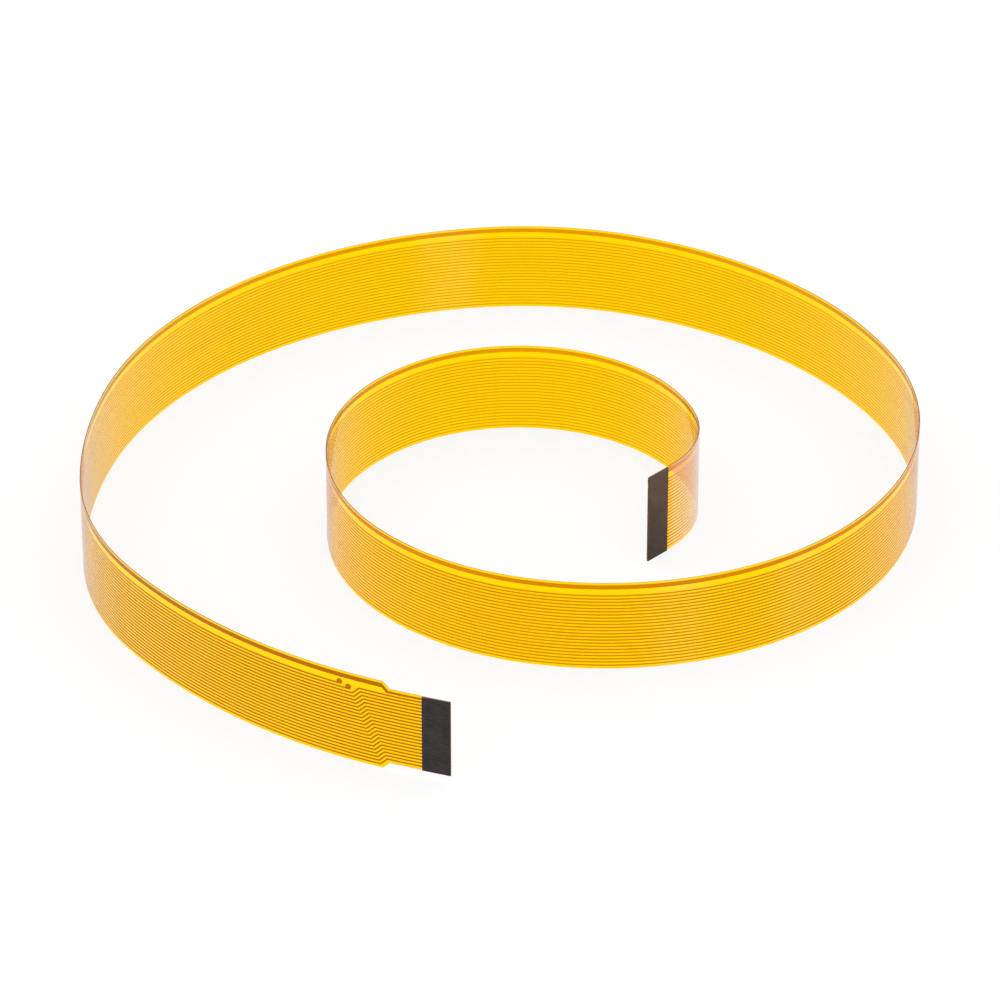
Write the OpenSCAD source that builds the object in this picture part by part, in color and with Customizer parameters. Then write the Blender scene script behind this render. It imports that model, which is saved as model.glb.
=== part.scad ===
// Flexible printed circuit ribbon, standing on its long edge in a loose inward coil.
// Two amber films hold 23 thin copper conductors and a wide one. One end narrows to a
// 22-contact tail, and both ends are stiffened so that they plug into flat connectors.

/* [Ribbon] */
// Length of the ribbon along its run, from tail end to inner end
ribbon_len = 500; // [470:1:540]
// Number of thin conductors across the full width
thin_count = 23; // [22:1:25]
// Pitch of the thin conductors and of the contacts
pitch = 0.5; // [0.45:0.01:0.6]
// Film edge to the middle of the first conductor
edge_margin = 0.5; // [0.4:0.01:0.8]
// Middle of the last thin conductor to the middle of the wide one
clear_band = 1.35; // [1.2:0.01:1.8]
// Film left outside the wide conductor
wide_margin = 0.325; // [0.25:0.005:0.6]

/* [Conductors] */
// Width of a thin conductor
trace_w = 0.22; // [0.15:0.01:0.26]
// Width of the wide conductor
wide_w = 0.65; // [0.5:0.01:0.8]
// Width of a bare contact
contact_w = 0.35; // [0.28:0.01:0.38]

/* [Narrow tail] */
// Number of thin conductors, counted from the top, that end at test pads before the tail
pad_count = 2; // [1:1:3]
// Tail end to the start of the neck
neck_at = 8.6; // [7:0.1:8.8]
// Step of the neck at the bottom edge, and of each conductor in the fan
neck_step = 1; // [0.8:0.05:1.2]
// Tail end to the fan's first bend
fan_at = 9; // [8.8:0.1:9.6]
// How much further back each next conductor bends
fan_lag = 0.2; // [0.16:0.01:0.22]
// Diameter of a test pad
pad_d = 0.85; // [0.6:0.05:0.9]
// Tail end to the middle of the first test pad
pad_at = 14.6; // [14.4:0.1:15]
// Distance along the ribbon between the test pads
pad_gap = 1.3; // [1.1:0.1:1.4]
// How far a pad's middle lies above its conductor's
pad_lift = 0.3; // [0.2:0.05:0.35]

/* [Layers] */
// Thickness of each film with its adhesive
film_t = 0.05; // [0.04:0.005:0.1]
// Thickness of the copper
copper_t = 0.035; // [0.018:0.001:0.07]
// Thickness of a stiffener
stiffener_t = 0.2; // [0.15:0.01:0.3]
// Length of a stiffener
stiffener_len = 4; // [3.8:0.1:5]
// How far past a stiffener the cover film starts, so that the contacts lie bare up to there
cover_gap = 0.2; // [0.1:0.05:0.4]

/* [Coil] */
// Radius that the bends are shares of
coil_r = 60; // [56:0.5:66]
// Flat run between the cover film's end and the first bend
flat_run = 0.8; // [0.5:0.1:2]
// Largest turn of one facet of the bends, in degrees
facet_angle = 4.5; // [3:0.5:6]

/* [Hidden] */
// Bends from the tail inwards: the radius as a share of coil_r, and the bend's part of the
// curved length
BENDS = [
    [1.342, 15], [1.342, 35], [0.767, 25], [1.425, 25], [1.05, 75], [0.817, 25], [1.008, 50],
    [0.783, 50], [0.733, 50], [0.625, 25], [0.575, 25], [0.483, 25], [0.425, 50], [0.25, 15]
];
// Direction in which the ribbon leaves its tail end, seen from above
tail_heading = 160;

THIN = [for (k = [1:thin_count]) str("conductor_", k < 10 ? "0" : "", k)];

// Across the width, measured up from the bottom edge
wide_z = edge_margin + (thin_count - 1) * pitch + clear_band;
ribbon_w = wide_z + wide_w / 2 + wide_margin;
tail_thin = len([for (k = [1:thin_count]) if (k <= thin_count - pad_count) k]);
tail_w = 2 * edge_margin + tail_thin * pitch;
tail_top = neck_step + tail_w;
top_step = ribbon_w - tail_top;

// Through the thickness, measured outwards from the middle of the copper
copper_out = copper_t / 2;
film_out = copper_out + film_t;
stiffener_out = film_out + stiffener_t;

// Along the run: flat pieces and bends as [length, curvature]. All bends turn clockwise.
bare_len = stiffener_len + cover_gap;
flat_end = bare_len + flat_run;
curved_len = ribbon_len - 2 * flat_end;
all_parts = [for (bend = BENDS) bend[1]] * [for (bend = BENDS) 1];
ENDS = [stiffener_len, cover_gap, flat_run];
RUN = concat(
    [for (l = ENDS) [l, 0]],
    [for (bend = BENDS) [curved_len * bend[1] / all_parts, -1 / (bend[0] * coil_r)]],
    [for (i = [len(ENDS) - 1:-1:0]) [ENDS[i], 0]]
);
fan_end = flat_end + RUN[len(ENDS)][0];

// A station is [x, y, heading, distance run]. The tail end is at the origin, along X.
function turn_of(l, curve) = l * curve * 180 / PI;
function ahead(p, l, curve) =
    let (h = p[2] + turn_of(l, curve))
    curve == 0
        ? [p[0] + l * cos(h), p[1] + l * sin(h), h, p[3] + l]
        : [p[0] + (sin(h) - sin(p[2])) / curve, p[1] - (cos(h) - cos(p[2])) / curve, h, p[3] + l];
PIECE_STARTS = [
    for (i = 0, p = [0, 0, 0, 0];
         i <= len(RUN);
         p = i < len(RUN) ? ahead(p, RUN[i][0], RUN[i][1]) : p, i = i + 1)
        p
];
STATIONS = concat(
    [
        for (i = [0:len(RUN) - 1])
            let (facets = max(1, ceil(abs(turn_of(RUN[i][0], RUN[i][1])) / facet_angle)))
            for (j = [0:facets - 1]) ahead(PIECE_STARTS[i], RUN[i][0] * j / facets, RUN[i][1])
    ],
    [PIECE_STARTS[len(RUN)]]
);

// A point off a station, to the left of the run, which is the outside of the coil
function off(p, a) = [p[0] - a * sin(p[2]), p[1] + a * cos(p[2])];

// The middle of the coil's bounding box, so that the part stands centred on the origin
function turned(q) = [
    q[0] * cos(tail_heading) - q[1] * sin(tail_heading),
    q[0] * sin(tail_heading) + q[1] * cos(tail_heading)
];
function outer_at(p) = p[3] <= stiffener_len || p[3] >= ribbon_len - stiffener_len ? stiffener_out : film_out;
FACES = [for (p = STATIONS) for (a = [outer_at(p), -film_out]) turned(off(p, a))];
function middle(i) = (min([for (q = FACES) q[i]]) + max([for (q = FACES) q[i]])) / 2;

module placed() {
    translate([-middle(0), -middle(1), 0])
        rotate([0, 0, tail_heading])
            children();
}

// A strip of the ribbon between two stations: from s0 to s1 along the run,
// a to b through the thickness and z0 to z1 across the width
module strip(s0, s1, a, b, z0, z1) {
    rounding = 0.001;
    span = [for (p = STATIONS) if (p[3] > s0 - rounding && p[3] < s1 + rounding) p];
    last = len(span) - 1;
    translate([0, 0, z0])
        linear_extrude(z1 - z0)
            polygon(concat([for (p = span) off(p, b)], [for (i = [last:-1:0]) off(span[i], a)]));
}

// Carries a flat drawing, x along the tail and y up, through the whole thickness at the tail
module through_tail() {
    front = pitch + stiffener_out;
    back = pitch + fan_end * fan_end * abs(RUN[len(ENDS)][1]) / 2;
    translate([0, front, 0])
        rotate([90, 0, 0])
            linear_extrude(front + back)
                children();
}

// The waste cut off above and below the narrow tail, with 45 degree necks
module tail_waste() {
    past = pitch;
    polygon([
        [-past, tail_top], [neck_at, tail_top], [neck_at + top_step, ribbon_w],
        [neck_at + top_step + past, ribbon_w + past], [-past, ribbon_w + past]
    ]);
    polygon([
        [-past, neck_step], [neck_at, neck_step], [neck_at + neck_step, 0],
        [neck_at + neck_step + past, -past], [-past, -past]
    ]);
}

module film(s0, s1, a, b) {
    difference() {
        strip(s0, s1, a, b, 0, ribbon_w);
        through_tail() tail_waste();
    }
}

function thin_z(k) = edge_margin + (k - 1) * pitch;

// Flat drawing of a contact whose middle is z high
module contact(z) {
    translate([-pitch, z - contact_w / 2])
        square([bare_len + pitch, contact_w]);
}

// Flat drawing of thin conductor k at the tail: it fans up to its contact at 45 degrees
module fan_trace(k) {
    z = thin_z(k);
    bend = fan_at + (k - 1) * fan_lag;
    // The mitre keeps the sloping stretch as wide as the straight ones
    half = trace_w / 2;
    mitre = half * tan(45 / 2);
    polygon([
        [-pitch, z + neck_step - half], [bend - mitre, z + neck_step - half],
        [bend + neck_step - mitre, z - half], [fan_end + pitch, z - half],
        [fan_end + pitch, z + half], [bend + neck_step + mitre, z + half],
        [bend + mitre, z + neck_step + half], [-pitch, z + neck_step + half]
    ]);
    contact(z + neck_step);
}

// Flat drawing of a thin conductor that ends in a round test pad
module pad_trace(k) {
    middle = pad_at + (k - tail_thin - 1) * pad_gap;
    translate([middle, thin_z(k) + pad_lift])
        circle(d = pad_d, $fn = 32);
    translate([middle, thin_z(k) - trace_w / 2])
        square([fan_end + pitch - middle, trace_w]);
}

// Flat drawing of the wide conductor at the tail: it narrows along the neck to a contact
module wide_trace() {
    z = tail_top - edge_margin;
    half = contact_w / 2;
    bend = neck_at + wide_margin * tan(45 / 2);
    rise = wide_z + wide_w / 2 - z - half;
    fall = wide_z - wide_w / 2 - z + half;
    lag = wide_w - contact_w;
    polygon([
        [-pitch, z - half], [bend + lag, z - half], [bend + lag + fall, wide_z - wide_w / 2],
        [fan_end + pitch, wide_z - wide_w / 2], [fan_end + pitch, wide_z + wide_w / 2],
        [bend + rise, wide_z + wide_w / 2], [bend, z + half], [-pitch, z + half]
    ]);
}

// A conductor: its flat drawing at the tail wrapped on the copper layer, then plain strips
// w wide round the coil and end_w wide at the inner contact. z is the middle of its height.
module conductor(z, w, end_w) {
    inner_contact = ribbon_len - bare_len;
    intersection() {
        strip(0, fan_end, -copper_out, copper_out, 0, ribbon_w);
        through_tail() children();
    }
    strip(fan_end, inner_contact, -copper_out, copper_out, z - w / 2, z + w / 2);
    strip(inner_contact, ribbon_len, -copper_out, copper_out, z - end_w / 2, z + end_w / 2);
}

module base_film() {
    color([1, 0.8, 0.1, 0.6])
        placed() film(0, ribbon_len, copper_out, film_out);
}

module cover_film() {
    color([1, 0.82, 0.15, 0.6])
        placed() film(bare_len, ribbon_len - bare_len, -film_out, -copper_out);
}

module tail_stiffener() {
    color([0.2, 0.18, 0.18])
        placed() strip(0, stiffener_len, film_out, stiffener_out, neck_step, tail_top);
}

module inner_stiffener() {
    color([0.3, 0.26, 0.24])
        placed() strip(ribbon_len - stiffener_len, ribbon_len, film_out, stiffener_out, 0, ribbon_w);
}

module thin_conductor(k) {
    color([0.8, 0.52, 0.1])
        placed() conductor(thin_z(k), trace_w, contact_w)
            if (k <= tail_thin) fan_trace(k);
            else pad_trace(k);
}

module wide_conductor() {
    color([0.85, 0.5, 0.05])
        placed() conductor(wide_z, wide_w, wide_w) wide_trace();
}

base_film();
cover_film();
tail_stiffener();
inner_stiffener();
for (k = [1:thin_count])
    thin_conductor(k);
wide_conductor();
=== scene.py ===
# %% [markdown]
# A flexible printed circuit ribbon, dressed over its measured frame.
# The real thing is a flat laminate: two amber films with etched copper between them, and a
# dark stiffener at each end. It is made flat and then bent, so it is modelled the same way
# here: every layer is shaped flat on the bench, and one curve bends them all.

# %% Load the measured frame
import math

import bmesh
import bpy
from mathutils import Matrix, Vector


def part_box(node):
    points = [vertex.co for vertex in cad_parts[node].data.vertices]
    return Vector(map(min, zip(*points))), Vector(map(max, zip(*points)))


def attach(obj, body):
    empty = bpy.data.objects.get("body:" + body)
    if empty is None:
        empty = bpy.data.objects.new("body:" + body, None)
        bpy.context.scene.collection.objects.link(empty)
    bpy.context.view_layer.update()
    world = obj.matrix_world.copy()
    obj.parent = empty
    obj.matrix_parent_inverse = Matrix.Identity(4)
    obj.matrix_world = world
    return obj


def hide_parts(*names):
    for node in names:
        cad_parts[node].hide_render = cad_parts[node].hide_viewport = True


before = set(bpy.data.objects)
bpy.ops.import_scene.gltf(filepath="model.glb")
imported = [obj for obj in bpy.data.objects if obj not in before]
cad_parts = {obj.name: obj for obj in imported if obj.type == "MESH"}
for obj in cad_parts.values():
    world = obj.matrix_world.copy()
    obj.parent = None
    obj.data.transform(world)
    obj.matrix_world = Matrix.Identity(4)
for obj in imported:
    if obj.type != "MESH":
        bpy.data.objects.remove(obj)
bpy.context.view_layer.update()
bpy.ops.object.select_all(action="DESELECT")
bpy.context.tool_settings.mesh_select_mode = (True, False, False)

# %% [markdown]
# The sizes come first, in millimetres, with one factor that turns them into metres.
# They are the frame's own: heights are measured up from the ribbon's lower edge, depths
# outwards from the middle of the copper, and distances along the run from the tail end.

# %% Sizes of the ribbon
MM = 0.001
RIBBON_LEN = 500
PITCH = 0.5
THIN_COUNT = 23
TAIL_THIN = 21
EDGE_MARGIN = 0.5
CLEAR_BAND = 1.35
WIDE_W = 0.65
WIDE_MARGIN = 0.325
TRACE_W = 0.22
CONTACT_W = 0.35
STIFFENER_LEN = 4
BARE_LEN = 4.2
FLAT_END = 5
FAN_END = 20
NECK_AT = 8.6
NECK_STEP = 1
FILM_T = 0.05
COPPER_T = 0.035
STIFFENER_T = 0.2

WIDE_Z = EDGE_MARGIN + (THIN_COUNT - 1) * PITCH + CLEAR_BAND
RIBBON_W = WIDE_Z + WIDE_W / 2 + WIDE_MARGIN
TAIL_TOP = NECK_STEP + 2 * EDGE_MARGIN + TAIL_THIN * PITCH
COPPER_OUT = COPPER_T / 2
FILM_OUT = COPPER_OUT + FILM_T
STIFFENER_OUT = FILM_OUT + STIFFENER_T
print("ribbon", RIBBON_W, "mm wide, tail", TAIL_TOP - NECK_STEP, "mm wide")

# %% [markdown]
# The camera comes next.
# A long lens far away gives the photograph's flat perspective. It looks down at 31 degrees,
# straight along +Y, at a point on the floor close to the middle of the coil.

# %% The camera
CAMERA_DISTANCE = 838.96
CAMERA_DOWN = math.radians(31)
CAMERA_LENS = 213.33
AIM_X = -0.43
AIM_Y = 7.75

bpy.ops.object.camera_add(
    location=(
        AIM_X * MM,
        (AIM_Y - CAMERA_DISTANCE * math.cos(CAMERA_DOWN)) * MM,
        CAMERA_DISTANCE * math.sin(CAMERA_DOWN) * MM,
    ),
    rotation=(math.pi / 2 - CAMERA_DOWN, 0, 0),
)
camera = bpy.context.object
camera.name = "photo_camera"
camera.data.lens = CAMERA_LENS
camera.data.sensor_width = 36
camera.data.clip_start = 0.01
camera.data.clip_end = 10
bpy.context.scene.camera = camera
print("camera at", [round(c, 4) for c in camera.location])

# %% [markdown]
# The route is a chain of arcs that all turn clockwise and grow tighter inwards, with a
# short straight piece at each end where the stiffeners are. An arc needs only a radius and
# a length, so the list stays short, and the points between are worked out.
# A point every millimetre keeps the chords within a few thousandths of the true arcs.

# %% Points along the route
COIL_R = 60
TAIL_HEADING = math.radians(160)
BENDS = [
    (1.342, 15), (1.342, 35), (0.767, 25), (1.425, 25), (1.05, 75), (0.817, 25), (1.008, 50),
    (0.783, 50), (0.733, 50), (0.625, 25), (0.575, 25), (0.483, 25), (0.425, 50), (0.25, 15),
]  # radius as a share of COIL_R, and length
STATION_GAP = 1


def ahead(point, length, radius):
    """The (x, y, heading) that lies a length further on. A radius of None is straight."""
    x, y, heading = point
    if radius is None:
        return x + length * math.cos(heading), y + length * math.sin(heading), heading
    turned = heading - length / radius
    x += radius * (math.sin(heading) - math.sin(turned))
    y += radius * (math.cos(turned) - math.cos(heading))
    return x, y, turned


tail_low, tail_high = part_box("tail_stiffener")
start = (
    tail_high[0] / MM + FILM_OUT * math.sin(TAIL_HEADING),
    tail_low[1] / MM - STIFFENER_OUT * math.cos(TAIL_HEADING),
    TAIL_HEADING,
)
route = [start]
runs = [(None, FLAT_END), *((share * COIL_R, length) for share, length in BENDS), (None, FLAT_END)]
for radius, length in runs:
    corner = route[-1]
    steps = round(length / STATION_GAP)
    route += [ahead(corner, length * (i + 1) / steps, radius) for i in range(steps)]
turn = math.degrees(route[0][2] - route[-1][2])
print(len(route), "points, turning", round(turn, 1), "degrees, from", [round(c, 3) for c in start[:2]])

# %% [markdown]
# A curve through those points is the guide that bends the flat layers. Its points are
# joined by straight chords, and the layers get their own cross cuts at the same distances,
# so that films and copper bend together and never cut into each other.

# %% The guide curve
guide_data = bpy.data.curves.new("route_guide", "CURVE")
guide_data.dimensions = "3D"
guide_data.twist_mode = "Z_UP"
spline = guide_data.splines.new("POLY")
spline.points.add(len(route) - 1)
for control, (x, y, heading) in zip(spline.points, route):
    control.co = (x * MM, y * MM, 0, 1)
guide = bpy.data.objects.new("route_guide", guide_data)
bpy.context.scene.collection.objects.link(guide)

# %% [markdown]
# Three helpers shape a layer the way a hand would. The first adds a plane across the
# ribbon as the strip's end face. The second extrudes the last face to the next place where
# the outline changes: the lower edge and the upper edge are moved apart from each other,
# which gives the slanted necks and jogs. The third closes the flat work, cuts the long
# spans into short ones and bends the strip along the guide. While the strip is still flat
# it is easy to tell its sides apart, so each face is given its material slot there: 0 on
# the outside of the coil, 1 on the inside, and 2 on the rims and ends.


# %% Helpers that shape a strip
OUTSIDE = 0
INSIDE = 1
RIM = 2
ALIKE = 0.9


def begin_strip(name, low, high, inner, outer):
    """Starts a strip with an end face. low and high are (x, z) of its lower and upper edge."""
    bpy.ops.mesh.primitive_plane_add(
        size=1,
        location=(low[0] * MM, (inner + outer) / 2 * MM, (low[1] + high[1]) / 2 * MM),
        rotation=(0, -math.pi / 2, 0),
    )
    strip = bpy.context.object
    strip.name = name
    strip.data.name = name
    strip.scale = ((high[1] - low[1]) * MM, (outer - inner) * MM, 1)
    bpy.ops.object.transform_apply(location=True, rotation=True, scale=True)
    bpy.ops.object.mode_set(mode="EDIT")
    bpy.ops.mesh.select_all(action="SELECT")
    return strip


def grow_strip(strip, low, high):
    """Extrudes the last face to a new lower and upper edge, each (x, z)."""
    sketch = bmesh.from_edit_mesh(strip.data)
    face = [vert.co.copy() for vert in sketch.verts if vert.select]
    lower = min(face, key=lambda co: co.z)
    upper = max(face, key=lambda co: co.z)
    drop = (low[0] * MM - lower.x, 0, low[1] * MM - lower.z)
    rise = (high[0] * MM - upper.x - drop[0], 0, high[1] * MM - upper.z - drop[2])
    bpy.ops.mesh.extrude_region_move(TRANSFORM_OT_translate={"value": drop})
    sketch = bmesh.from_edit_mesh(strip.data)
    face = [vert for vert in sketch.verts if vert.select]
    middle = sum(vert.co.z for vert in face) / len(face)
    for vert in face:
        vert.select = vert.co.z > middle
    sketch.select_flush_mode()
    bpy.ops.transform.translate(value=rise)
    sketch = bmesh.from_edit_mesh(strip.data)
    for vert in face:
        vert.select = True
    sketch.select_flush_mode()
    bmesh.update_edit_mesh(strip.data)


def pick(piece, test):
    """Selects the vertices of a piece in edit mode for which test is true."""
    sketch = bmesh.from_edit_mesh(piece.data)
    for vert in sketch.verts:
        vert.select = test(vert)
    sketch.select_flush_mode()
    bmesh.update_edit_mesh(piece.data)


def add_stations(strip):
    """Cuts every long span into pieces about STATION_GAP long.

    A mitred corner makes one edge of a span a little shorter than the other. Edges that
    are nearly as long as the longest get as many cuts, so that the cuts join up across.
    """
    while True:
        sketch = bmesh.from_edit_mesh(strip.data)
        spans = {edge: abs(edge.verts[0].co.x - edge.verts[1].co.x) / MM for edge in sketch.edges}
        longest = max(spans.values())
        if longest < 1.5 * STATION_GAP:
            return
        pieces = round(longest / STATION_GAP)
        if pieces > 100:
            pieces = 5
        bpy.ops.mesh.select_all(action="DESELECT")
        for edge, span in spans.items():
            if span > ALIKE * longest:
                edge.select = True
        bmesh.update_edit_mesh(strip.data)
        bpy.ops.mesh.subdivide(number_cuts=pieces - 1)


def wrap(piece):
    """Bends a flat piece along the guide and applies the bend."""
    bend = piece.modifiers.new("route", "CURVE")
    bend.object = guide
    bend.deform_axis = "POS_X"
    bpy.context.view_layer.objects.active = piece
    bpy.ops.object.modifier_apply(modifier=bend.name)


def finish_strip(strip):
    """Closes a strip's flat work: normals, cross cuts, flat coordinates and the bend."""
    bpy.ops.mesh.select_all(action="SELECT")
    bpy.ops.mesh.normals_make_consistent(inside=False)
    add_stations(strip)
    bpy.ops.object.mode_set(mode="OBJECT")
    flat = strip.data.uv_layers.new(name="flat")
    for loop in strip.data.loops:
        co = strip.data.vertices[loop.vertex_index].co
        flat.data[loop.index].uv = (co.x / MM / RIBBON_LEN, co.z / MM / RIBBON_LEN)
    side_slots = [OUTSIDE if face.normal.y > 0.9 else INSIDE for face in strip.data.polygons]
    longest = 0
    for face, slot in zip(strip.data.polygons, side_slots):
        face.material_index = slot if abs(face.normal.y) > 0.9 else RIM
        along = [strip.data.vertices[i].co.x / MM for i in face.vertices]
        longest = max(longest, max(along) - min(along))
    wrap(strip)
    bpy.ops.object.select_all(action="DESELECT")
    strip.select_set(True)
    bpy.ops.object.shade_smooth_by_angle(angle=math.radians(30))
    bpy.ops.object.select_all(action="DESELECT")
    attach(strip, "root")
    sides = [0] * len(strip.data.edges)
    for loop in strip.data.loops:
        sides[loop.edge_index] += 1
    open_edges = sum(count != 2 for count in sides)
    print(strip.name, len(strip.data.polygons), "faces,", open_edges, "open edges,", end=" ")
    print("longest face", round(longest, 2), "mm")


# %% [markdown]
# The base film runs the full length on the outside of the coil. It starts as the narrow
# tail, widens through two 45 degree necks and goes on at full width.

# %% The base film
TOP_STEP = RIBBON_W - TAIL_TOP
LAST_BEND_END = RIBBON_LEN - FLAT_END

outer_film = begin_strip("outer_film", (0, NECK_STEP), (0, TAIL_TOP), COPPER_OUT, FILM_OUT)
grow_strip(outer_film, (FLAT_END, NECK_STEP), (FLAT_END, TAIL_TOP))
grow_strip(outer_film, (NECK_AT, NECK_STEP), (NECK_AT, TAIL_TOP))
grow_strip(outer_film, (NECK_AT + NECK_STEP, 0), (NECK_AT + TOP_STEP, RIBBON_W))
grow_strip(outer_film, (FAN_END, 0), (FAN_END, RIBBON_W))
grow_strip(outer_film, (LAST_BEND_END, 0), (LAST_BEND_END, RIBBON_W))
grow_strip(outer_film, (RIBBON_LEN, 0), (RIBBON_LEN, RIBBON_W))
finish_strip(outer_film)
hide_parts("base_film")

# %% [markdown]
# The cover film has the same outline on the inside of the coil, but it stops short of
# both ends, where the contacts have to lie bare.

# %% The cover film
inner_film = begin_strip(
    "inner_film", (BARE_LEN, NECK_STEP), (BARE_LEN, TAIL_TOP), -FILM_OUT, -COPPER_OUT
)
grow_strip(inner_film, (FLAT_END, NECK_STEP), (FLAT_END, TAIL_TOP))
grow_strip(inner_film, (NECK_AT, NECK_STEP), (NECK_AT, TAIL_TOP))
grow_strip(inner_film, (NECK_AT + NECK_STEP, 0), (NECK_AT + TOP_STEP, RIBBON_W))
grow_strip(inner_film, (FAN_END, 0), (FAN_END, RIBBON_W))
grow_strip(inner_film, (LAST_BEND_END, 0), (LAST_BEND_END, RIBBON_W))
grow_strip(inner_film, (RIBBON_LEN - BARE_LEN, 0), (RIBBON_LEN - BARE_LEN, RIBBON_W))
finish_strip(inner_film)
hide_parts("cover_film")

# %% [markdown]
# The thin conductors are all alike: a contact at the tail, a thin trace that fans down by
# one millimetre, and a contact at the inner end. Only the place of the jog changes, a
# little further back for each next one. So one is modelled flat, and each copy is lifted
# by the pitch and has its jog slid along before it is bent. The copper is a few
# thousandths thinner than the space between the films, so that no two faces coincide.

# %% The first thin conductor, flat
FAN_AT = 9
FAN_LAG = 0.2
FOIL_PLAY = 0.006
MITRE = TRACE_W / 2 * math.tan(math.radians(45) / 2)
COPPER_FACE = COPPER_OUT - FOIL_PLAY


def across(x, z, width, slip=0):
    """The lower and upper edge of a strip width wide round z. slip skews a mitred corner."""
    return (x - slip, z - width / 2), (x + slip, z + width / 2)


first_z = EDGE_MARGIN
bench = begin_strip(
    "thin_trace_01", *across(0, first_z + NECK_STEP, CONTACT_W), -COPPER_FACE, COPPER_FACE
)
grow_strip(bench, *across(BARE_LEN, first_z + NECK_STEP, CONTACT_W))
grow_strip(bench, *across(BARE_LEN, first_z + NECK_STEP, TRACE_W))
grow_strip(bench, *across(FLAT_END, first_z + NECK_STEP, TRACE_W))
grow_strip(bench, *across(FAN_AT, first_z + NECK_STEP, TRACE_W, MITRE))
grow_strip(bench, *across(FAN_AT + NECK_STEP, first_z, TRACE_W, MITRE))
grow_strip(bench, *across(FAN_END, first_z, TRACE_W))
grow_strip(bench, *across(LAST_BEND_END, first_z, TRACE_W))
grow_strip(bench, *across(RIBBON_LEN - BARE_LEN, first_z, TRACE_W))
grow_strip(bench, *across(RIBBON_LEN - BARE_LEN, first_z, CONTACT_W))
grow_strip(bench, *across(RIBBON_LEN, first_z, CONTACT_W))
bpy.ops.object.mode_set(mode="OBJECT")
print("flat conductor:", len(bench.data.polygons), "faces")

# %% [markdown]
# The copies are made while the first is still flat. A copy's jog is every vertex between
# the flat end and the end of the fan, and it is moved as one.

# %% The other fanned conductors
def on_jog(vert):
    """True for a vertex of the jog, between the straight stretches."""
    return FLAT_END + 0.5 < vert.co.x / MM < FAN_END - 0.5


thin_traces = [bench]
for k in range(2, TAIL_THIN + 1):
    copy = bench.copy()
    copy.data = bench.data.copy()
    copy.name = f"thin_trace_{k:02d}"
    copy.data.name = copy.name
    bpy.context.scene.collection.objects.link(copy)
    bpy.ops.object.select_all(action="DESELECT")
    copy.select_set(True)
    bpy.context.view_layer.objects.active = copy
    bpy.ops.object.mode_set(mode="EDIT")
    bpy.ops.mesh.select_all(action="SELECT")
    bpy.ops.transform.translate(value=(0, 0, (k - 1) * PITCH * MM))
    pick(copy, on_jog)
    bpy.ops.transform.translate(value=((k - 1) * FAN_LAG * MM, 0, 0))
    bpy.ops.object.mode_set(mode="OBJECT")
    thin_traces.append(copy)
print(len(thin_traces), "fanned conductors")

# %% [markdown]
# The two upper thin conductors don't reach the tail. Each ends at a round test pad that
# sits a little above its line. The pad is a short cylinder, two thousandths thicker than
# the strip on each side because it is plated, and it is joined to the strip's mesh while
# both are flat. A Boolean would also do, but faces this close together upset it.

# %% The conductors with test pads
PAD_D = 0.85
PAD_AT = 14.6
PAD_GAP = 1.3
PAD_LIFT = 0.3
PAD_PLAY = 0.001

for k in range(TAIL_THIN + 1, THIN_COUNT + 1):
    height = EDGE_MARGIN + (k - 1) * PITCH
    pad_x = PAD_AT + (k - TAIL_THIN - 1) * PAD_GAP
    trace = begin_strip(
        f"thin_trace_{k:02d}", *across(pad_x, height, TRACE_W), -COPPER_FACE, COPPER_FACE
    )
    grow_strip(trace, *across(FAN_END, height, TRACE_W))
    grow_strip(trace, *across(LAST_BEND_END, height, TRACE_W))
    grow_strip(trace, *across(RIBBON_LEN - BARE_LEN, height, TRACE_W))
    grow_strip(trace, *across(RIBBON_LEN - BARE_LEN, height, CONTACT_W))
    grow_strip(trace, *across(RIBBON_LEN, height, CONTACT_W))
    bpy.ops.mesh.select_all(action="SELECT")
    bpy.ops.mesh.normals_make_consistent(inside=False)
    bpy.ops.object.mode_set(mode="OBJECT")
    bpy.ops.mesh.primitive_cylinder_add(
        vertices=32,
        radius=PAD_D / 2 * MM,
        depth=2 * (COPPER_OUT - PAD_PLAY) * MM,
        location=(pad_x * MM, 0, (height + PAD_LIFT) * MM),
        rotation=(math.pi / 2, 0, 0),
    )
    bpy.ops.object.transform_apply(location=True, rotation=True, scale=True)
    trace.select_set(True)
    bpy.context.view_layer.objects.active = trace
    bpy.ops.object.join()
    thin_traces.append(trace)
    print(trace.name, "pad at", round(pad_x, 2), "mm")

# %% Bend the thin conductors
for k, trace in enumerate(thin_traces, start=1):
    bpy.ops.object.select_all(action="DESELECT")
    trace.select_set(True)
    bpy.context.view_layer.objects.active = trace
    bpy.ops.object.mode_set(mode="EDIT")
    finish_strip(trace)
    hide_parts(f"conductor_{k:02d}")

# %% [markdown]
# The wide conductor carries power along the upper edge. At the neck it narrows and drops
# to the topmost contact, so its lower edge turns later than its upper one.

# %% The wide conductor
tail_z = TAIL_TOP - EDGE_MARGIN
neck_bend = NECK_AT + WIDE_MARGIN * math.tan(math.radians(45) / 2)
neck_lag = WIDE_W - CONTACT_W
rise = WIDE_Z + WIDE_W / 2 - tail_z - CONTACT_W / 2
fall = WIDE_Z - WIDE_W / 2 - tail_z + CONTACT_W / 2

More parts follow.
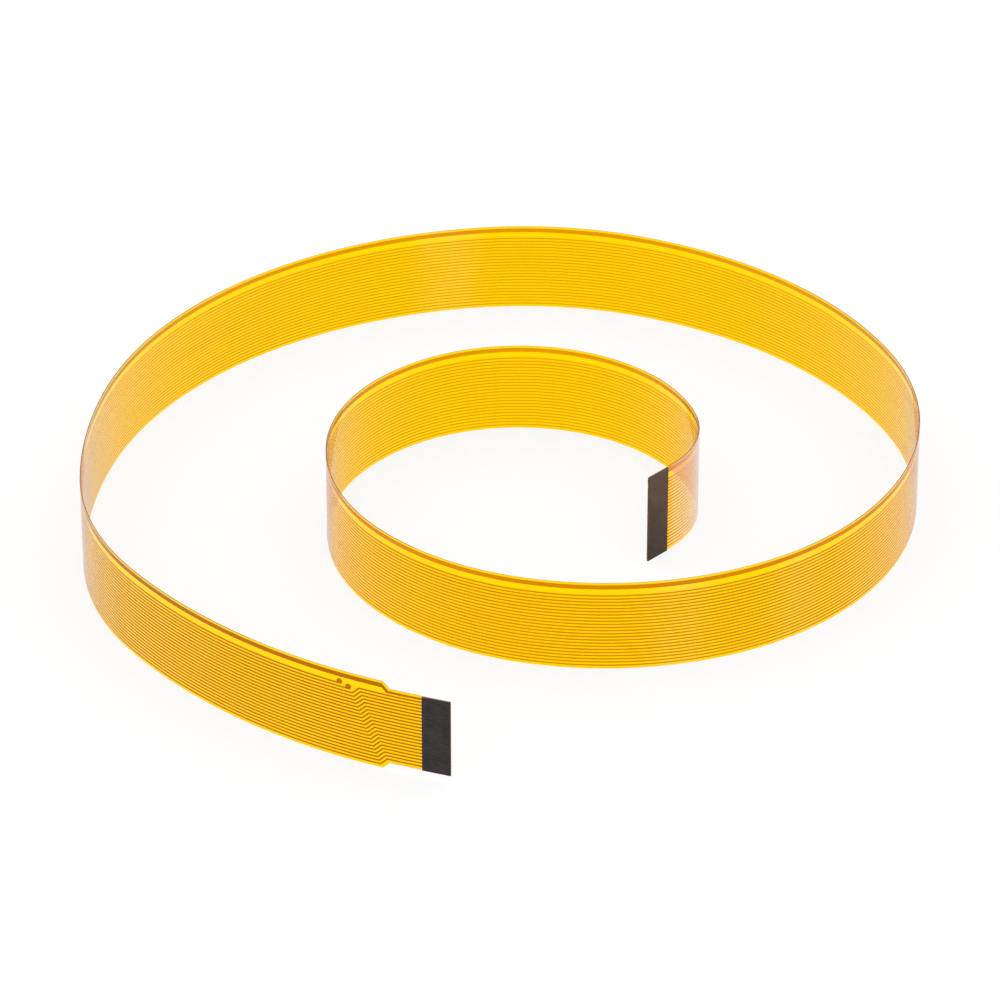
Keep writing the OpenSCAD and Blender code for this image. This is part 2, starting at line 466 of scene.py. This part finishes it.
wide_trace = begin_strip(
    "wide_trace", *across(0, tail_z, CONTACT_W), -COPPER_FACE, COPPER_FACE
)
grow_strip(wide_trace, *across(FLAT_END, tail_z, CONTACT_W))
grow_strip(
    wide_trace, (neck_bend + neck_lag, tail_z - CONTACT_W / 2), (neck_bend, tail_z + CONTACT_W / 2)
)
grow_strip(
    wide_trace,
    (neck_bend + neck_lag + fall, WIDE_Z - WIDE_W / 2),
    (neck_bend + rise, WIDE_Z + WIDE_W / 2),
)
grow_strip(wide_trace, *across(FAN_END, WIDE_Z, WIDE_W))
grow_strip(wide_trace, *across(LAST_BEND_END, WIDE_Z, WIDE_W))
grow_strip(wide_trace, *across(RIBBON_LEN, WIDE_Z, WIDE_W))
finish_strip(wide_trace)
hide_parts("wide_conductor")

# %% [markdown]
# Each stiffener is a small plate glued to the outside of the base film. It is punched
# out, so its rims are slightly rounded. A cube is scaled to its size and its long edges
# are bevelled.

# %% The stiffeners
PLATE_RIM = 0.03


def stiffener(name, node, x0, x1, z0, z1):
    """A flat plate on the outside of the base film, with rounded rims."""
    bpy.ops.mesh.primitive_cube_add(
        size=1,
        location=(
            (x0 + x1) / 2 * MM, (FILM_OUT + STIFFENER_OUT) / 2 * MM, (z0 + z1) / 2 * MM
        ),
    )
    plate = bpy.context.object
    plate.name = name
    plate.data.name = name
    plate.scale = ((x1 - x0) * MM, STIFFENER_T * MM, (z1 - z0) * MM)
    bpy.ops.object.transform_apply(location=True, rotation=True, scale=True)
    bpy.ops.object.mode_set(mode="EDIT")
    bpy.ops.mesh.select_all(action="SELECT")
    bpy.ops.mesh.bevel(offset=PLATE_RIM * MM, segments=3, affect="EDGES")
    bpy.ops.mesh.normals_make_consistent(inside=False)
    finish_strip(plate)
    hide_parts(node)
    return plate


outer_plate = stiffener("tail_plate", "tail_stiffener", 0, STIFFENER_LEN, NECK_STEP, TAIL_TOP)
inner_plate = stiffener(
    "inner_plate", "inner_stiffener", RIBBON_LEN - STIFFENER_LEN, RIBBON_LEN, 0, RIBBON_W
)
bpy.data.objects.remove(guide)

# %% [markdown]
# Materials are written as short sums. The class below wraps one output of a node, so that
# plus, minus and times add the Math nodes by themselves. Every other node comes from one
# function that is given the node's type, its settings and the values of its inputs.


# %% Helpers for materials
class Wire:
    """One output socket of a material, with arithmetic that adds Math nodes."""

    def __init__(self, socket):
        self.socket = socket

    def math(self, operation, first, second):
        return add_node(self.socket.id_data, "ShaderNodeMath", {"operation": operation}, [first, second])

    def __add__(self, other):
        return self.math("ADD", self, other)

    def __radd__(self, other):
        return self.math("ADD", other, self)

    def __sub__(self, other):
        return self.math("SUBTRACT", self, other)

    def __rsub__(self, other):
        return self.math("SUBTRACT", other, self)

    def __mul__(self, other):
        return self.math("MULTIPLY", self, other)

    def __rmul__(self, other):
        return self.math("MULTIPLY", other, self)


def add_node(tree, kind, settings=None, inputs=(), output=0):
    """Adds a node. inputs is a list in socket order, or a dict by socket name."""
    node = tree.nodes.new(kind)
    for name, value in (settings or {}).items():
        setattr(node, name, value)
    pairs = inputs.items() if isinstance(inputs, dict) else enumerate(inputs)
    for name, value in pairs:
        if isinstance(value, Wire):
            tree.links.new(value.socket, node.inputs[name])
        elif value is not None:
            node.inputs[name].default_value = value
    return Wire(node.outputs[output])


def new_finish(name):
    """A new material, with its tree and its empty Principled shader."""
    finish = bpy.data.materials.new(name)
    finish.use_nodes = True
    tree = finish.node_tree
    return finish, tree, tree.nodes["Principled BSDF"]


# %% [markdown]
# Most of the detail on a ribbon runs along it: rolling marks in the foil, streaks in the
# film and the relief over each trace. The flat coordinates that each piece got before it
# was bent are the right ones for that. Three small recipes read them: the place on the flat
# ribbon in millimetres, noise drawn out along the run, and a soft step.


# %% Recipes that follow the flat ribbon
def flat_place(tree):
    """Two wires, in millimetres: along the run, and up from the lower edge."""
    flat = add_node(tree, "ShaderNodeUVMap", {"uv_map": "flat"})
    across_run = add_node(tree, "ShaderNodeSeparateXYZ", inputs=[flat], output=1)
    along_run = add_node(tree, "ShaderNodeSeparateXYZ", inputs=[flat], output=0)
    return RIBBON_LEN * along_run, RIBBON_LEN * across_run


def streaks(tree, along, height, length, width, seed):
    """Noise from 0 to 1 with spots about length along the run and width across it."""
    place = add_node(
        tree, "ShaderNodeCombineXYZ", inputs=[along * (1 / length), height * (1 / width), seed]
    )
    return add_node(
        tree, "ShaderNodeTexNoise", inputs={"Vector": place, "Scale": 1.0, "Detail": 3.0}
    )


def soft_step(tree, value, start, end):
    """Rises smoothly from 0 at start to 1 at end."""
    return add_node(
        tree, "ShaderNodeMapRange", {"interpolation_type": "SMOOTHSTEP"}, [value, start, end]
    )


def blend_colours(tree, share, first, second):
    """The first colour at a share of 0 and the second at 1."""
    return add_node(
        tree, "ShaderNodeMix", {"data_type": "RGBA"}, {0: share, 6: first, 7: second}, output=2
    )


def feed(shader, name, wire):
    """Links a wire to a socket of the shader."""
    shader.id_data.links.new(wire.socket, shader.inputs[name])


# %% [markdown]
# Polyimide film is a clear amber. Light comes through it from the pale room behind, so it
# is a transmissive material with an amber tint, and at a glancing angle it mirrors the
# room with a warm bloom, which Sheen gives. The two films are laminated on the copper with
# clear adhesive, so light bends only where it meets air: the bonded sides are left fully
# clear with an Alpha of 0. The punched edges are frosted, and darker where the stiffener
# was punched with them. Between traces the amber looks a little deeper than in the bare
# band under the wide trace. The film swells over each trace by a few thousandths. Three
# faint pale bands across it are painted reflections, and pale dots between the traces just
# past the tail stiffener are painted highlights.

# %% The film's finish
THIN_TOP = EDGE_MARGIN + (THIN_COUNT - 1) * PITCH
# Painted reflections: three pale bands across the film, each given by its middle and half width.
PAINTED_REFLECTION_AT = [(176, 7), (316, 6), (334, 7)]  # middle and half width of each hazy band, in mm
PLATE_GAP_AT = STIFFENER_LEN + 0.12

film_finish, tree, shader = new_finish("amber_film")
along, height = flat_place(tree)
thin_zone = soft_step(tree, height, THIN_TOP + 0.6, THIN_TOP)
cloud = streaks(tree, along, height, 25, 1.2, 0)
depth = 0.7 * thin_zone + 0.6 * (cloud - 0.5)
amber = blend_colours(tree, depth, (1.0, 0.65, 0.001, 1), (1.0, 0.57, 0.001, 1))
wave = add_node(
    tree, "ShaderNodeMath", {"operation": "COSINE"}, [height * (2 * math.pi / PITCH)]
)
# Painted highlights: pale dots between the traces, in a thin strip just past the tail stiffener.
off_plate = add_node(tree, "ShaderNodeMath", {"operation": "ABSOLUTE"}, [along - PLATE_GAP_AT])
painted_glints = soft_step(tree, off_plate, 0.12, 0.05) * soft_step(tree, wave, -0.2, -0.8)
painted_glints = painted_glints * soft_step(tree, streaks(tree, along, height, 2, 0.6, 15), 0.45, 0.6)
amber = blend_colours(tree, painted_glints, amber, (1.0, 0.92, 0.70, 1))
# Painted reflection: the base colour turns paler in these bands.
painted_reflection = 0
for middle, half in PAINTED_REFLECTION_AT:
    off = add_node(tree, "ShaderNodeMath", {"operation": "ABSOLUTE"}, [along - middle])
    painted_reflection = soft_step(tree, off, half, 0) + painted_reflection
painted_reflection = 0.5 * painted_reflection * streaks(tree, along, height, 3, 5, 11)
feed(shader, "Base Color", blend_colours(tree, painted_reflection, amber, (1.0, 0.66, 0.10, 1)))
shader.inputs["IOR"].default_value = 1.3
shader.inputs["Transmission Weight"].default_value = 1.0
shader.inputs["Specular Tint"].default_value = (1.0, 0.6, 0.0, 1)
shader.inputs["Sheen Weight"].default_value = 0.6
shader.inputs["Sheen Roughness"].default_value = 0.3
shader.inputs["Sheen Tint"].default_value = (1.0, 0.53, 0.36, 1)

# %% Gloss and relief of the film
feed(shader, "Roughness", 0.01 + 0.04 * streaks(tree, along, height, 60, 4, 3))
off_wide = add_node(tree, "ShaderNodeMath", {"operation": "ABSOLUTE"}, [height - WIDE_Z])
over_wide = soft_step(tree, off_wide, WIDE_W / 2 + 0.06, WIDE_W / 2 - 0.02)
relief = 0.5 * thin_zone * wave + over_wide + 4 * streaks(tree, along, height, 9, 9, 7)
bump = add_node(
    tree, "ShaderNodeBump", inputs={"Strength": 1.0, "Distance": 0.001 * MM, "Height": relief}
)
feed(shader, "Normal", bump)

print("glare bands at", [middle for middle, half in PAINTED_REFLECTION_AT], "mm")

# %% [markdown]
# The outside of the inner end mirrors the room more than the rest, because it is bent
# tightly there and was handled. A copy of the finish gets a clear coat on that stretch.

# %% The glossy stretch of the outside
glossy_finish = film_finish.copy()
glossy_finish.name = "glossy_film"
tree = glossy_finish.node_tree
shader = tree.nodes["Principled BSDF"]
along, height = flat_place(tree)
gloss = soft_step(tree, along, RIBBON_LEN - 24, RIBBON_LEN - 14)
gloss = gloss * soft_step(tree, along, RIBBON_LEN - 4, RIBBON_LEN - 6)
feed(shader, "Coat Weight", gloss)
shader.inputs["Coat IOR"].default_value = 2.0
shader.inputs["Coat Roughness"].default_value = 0.15
print("glossy from", RIBBON_LEN - 24, "mm to the inner stiffener")

# %% The bonded sides and the cut edges
glue_finish, tree, shader = new_finish("clear_adhesive")
shader.inputs["Base Color"].default_value = (1.0, 0.6, 0.005, 1)
shader.inputs["Alpha"].default_value = 0.0

rim_finish, tree, shader = new_finish("cut_edge")
along, height = flat_place(tree)
burr = streaks(tree, along, height, 1.5, 1.5, 2)
edge_tone = blend_colours(tree, burr, (0.30, 0.12, 0.02, 1), (0.62, 0.30, 0.05, 1))
to_end = add_node(tree, "ShaderNodeMath", {"operation": "ABSOLUTE"}, [along - RIBBON_LEN / 2])
under_plate = soft_step(tree, to_end, RIBBON_LEN / 2 - 4.2, RIBBON_LEN / 2 - 3.8)
feed(shader, "Base Color", blend_colours(tree, under_plate, edge_tone, (0.10, 0.045, 0.015, 1)))
shader.inputs["Roughness"].default_value = 0.6
shader.inputs["Specular IOR Level"].default_value = 0.2

for finish in (glossy_finish, glue_finish, rim_finish):
    outer_film.data.materials.append(finish)
for finish in (glue_finish, film_finish, rim_finish):
    inner_film.data.materials.append(finish)
print("film slots:", [finish.name for finish in outer_film.data.materials])

# %% [markdown]
# The foil is rolled copper, with fine marks along the run. The side that is glued to the
# base film is treated to hold the glue, so it is browner and duller than the bright side
# under the cover film. Towards the tail it is darkened further with painted shade. The
# contacts lie bare on the bright side and are plated pale gold, so one soft step along the
# run changes the colour there.


# %% The copper's finishes
def copper_finish(name, dark, light, dull):
    """Rolled foil between two tones. dull is its lowest roughness."""
    finish, tree, shader = new_finish(name)
    along, height = flat_place(tree)
    marks = streaks(tree, along, height, 6, 0.08, 4)
    patch = streaks(tree, along, height, 50, 0.4, 9)
    tone = 0.4 * marks + 1.2 * patch - 0.3
    colour = blend_colours(tree, tone, dark, light)
    shader.inputs["Metallic"].default_value = 1.0
    feed(shader, "Roughness", dull + 0.06 * marks)
    bump = add_node(
        tree, "ShaderNodeBump", inputs={"Strength": 0.5, "Distance": 0.0005 * MM, "Height": marks}
    )
    feed(shader, "Normal", bump)
    return finish, tree, shader, along, colour


def treated_finish(name, dark, light):
    """The glued side, between two tones, with painted shade darkening it towards the tail."""
    finish, tree, shader, along, colour = copper_finish(name, dark, light, 0.08)
    # Painted shade: the glued side darkens towards the tail.
    tail_shade = soft_step(tree, along, 130, 60)
    feed(shader, "Base Color", blend_colours(tree, 0.8 * tail_shade, colour, (0.42, 0.18, 0.04, 1)))
    return finish


def bright_finish(name, dark, light, dull):
    """The bright side, between two tones, and plated where the contacts lie bare."""
    finish, tree, shader, along, colour = copper_finish(name, dark, light, dull)
    to_end = add_node(tree, "ShaderNodeMath", {"operation": "ABSOLUTE"}, [along - RIBBON_LEN / 2])
    bare = soft_step(tree, to_end, RIBBON_LEN / 2 - BARE_LEN - 0.05, RIBBON_LEN / 2 - BARE_LEN)
    feed(shader, "Base Color", blend_colours(tree, bare, colour, (0.93, 0.76, 0.42, 1)))
    return finish


thin_treated = treated_finish("treated_copper", (0.56, 0.30, 0.06, 1), (0.76, 0.46, 0.12, 1))
thin_bright = bright_finish("bright_copper", (0.74, 0.54, 0.21, 1), (0.90, 0.70, 0.33, 1), 0.12)
wide_treated = treated_finish("treated_wide", (0.56, 0.26, 0.05, 1), (0.76, 0.42, 0.10, 1))
wide_bright = bright_finish("bright_wide", (0.70, 0.42, 0.16, 1), (0.86, 0.56, 0.24, 1), 0.2)

for trace in thin_traces:
    for finish in (thin_treated, thin_bright, thin_treated):
        trace.data.materials.append(finish)
for finish in (wide_treated, wide_bright, wide_treated):
    wide_trace.data.materials.append(finish)
print("copper slots:", [finish.name for finish in wide_trace.data.materials])

# %% [markdown]
# The stiffeners are punched from dark sheet with a fine fibrous grain. Their faces are
# matt, with faint streaks along the run and paler scuffs, and their punched rims show the
# browner core. The two were cut from different sheets: the inner one is warmer and paler.


# %% The stiffeners' finish
def plate_finish(name, dark, light, ripple, nicks_and_gradient):
    """Matt sheet between two tones. The last two arguments are shares: one for fibres, and one for pale
    nicks and a tone that turns paler upwards.
    """
    finish, tree, shader = new_finish(name)
    along, height = flat_place(tree)
    grain = streaks(tree, along, height, 0.25, 0.15, 1)
    fibres = streaks(tree, along, height, 1.2, 0.25, 6)
    scuffs = streaks(tree, along, height, 3, 2, 13)
    tone = grain + 2.5 * ripple * fibres + scuffs - 0.5 - 1.25 * ripple
    # The second share also makes the sheet paler towards its upper edge.
    tone = tone + nicks_and_gradient * (soft_step(tree, height, 0, RIBBON_W) - 0.5)
    nicks = nicks_and_gradient * soft_step(tree, streaks(tree, along, height, 0.3, 0.3, 21), 0.64, 0.72)
    sheet = blend_colours(tree, tone, dark, light)
    feed(shader, "Base Color", blend_colours(tree, nicks, sheet, (0.22, 0.18, 0.15, 1)))
    feed(shader, "Roughness", 0.5 + 0.3 * grain)
    shader.inputs["Specular IOR Level"].default_value = 0.3
    bump = add_node(
        tree,
        "ShaderNodeBump",
        inputs={"Strength": 0.8, "Distance": 0.02 * MM, "Height": grain + ripple * fibres},
    )
    feed(shader, "Normal", bump)
    return finish


core_finish, tree, shader = new_finish("punched_rim")
along, height = flat_place(tree)
core = streaks(tree, along, height, 0.3, 0.3, 8)
feed(shader, "Base Color", blend_colours(tree, core, (0.06, 0.03, 0.02, 1), (0.16, 0.09, 0.06, 1)))
shader.inputs["Roughness"].default_value = 0.7

plates = [
    (outer_plate, "black_sheet", (0.012, 0.008, 0.007, 1), (0.050, 0.040, 0.038, 1), 0.6, 0.0),
    (inner_plate, "brown_sheet", (0.060, 0.042, 0.036, 1), (0.130, 0.092, 0.078, 1), 0.2, 0.7),
]
for plate, name, dark, light, ripple, nicks_and_gradient in plates:
    face_finish = plate_finish(name, dark, light, ripple, nicks_and_gradient)
    for finish in (face_finish, face_finish, core_finish):
        plate.data.materials.append(finish)
    print(plate.name, "gets", name)

# %% [markdown]
# The photograph was taken on plain white, with soft light from all sides. The floor is a
# pale plane that gives the ribbon a faint shadow, and the world is an even white.

# %% The stage
bpy.ops.mesh.primitive_plane_add(size=6, location=(0, 0, 0))
floor = bpy.context.object
floor.name = "floor"
floor_finish, tree, shader = new_finish("pale_floor")
light_path = tree.nodes.new("ShaderNodeLightPath")
seen = Wire(light_path.outputs["Is Camera Ray"])
mirrored = Wire(light_path.outputs["Is Glossy Ray"])
passed = Wire(light_path.outputs["Is Transmission Ray"])
shader.inputs["Base Color"].default_value = (0.8, 0.8, 0.8, 1)
shader.inputs["Roughness"].default_value = 1.0
shader.inputs["Specular IOR Level"].default_value = 0.0
backlit = add_node(tree, "ShaderNodeEmission", inputs={"Color": (1, 1, 1, 1), "Strength": 1.1})
mixed = add_node(
    tree,
    "ShaderNodeMixShader",
    inputs=[0.75 * (seen + mirrored + passed), Wire(shader.outputs["BSDF"]), backlit],
)
tree.links.new(mixed.socket, tree.nodes["Material Output"].inputs["Surface"])
floor.data.materials.append(floor_finish)

world = bpy.data.worlds.new("white_room")
bpy.context.scene.world = world
world.use_nodes = True
world.node_tree.nodes["Background"].inputs["Color"].default_value = (1, 1, 1, 1)
world.node_tree.nodes["Background"].inputs["Strength"].default_value = 1.0

bpy.context.scene.view_settings.view_transform = "Standard"

# %% [markdown]
# The route's start and its points at half the ribbon's height, in metres.

route[0][0] * MM
route[0][1] * MM
[(x * MM, y * MM, RIBBON_W / 2 * MM) for x, y, heading in route]
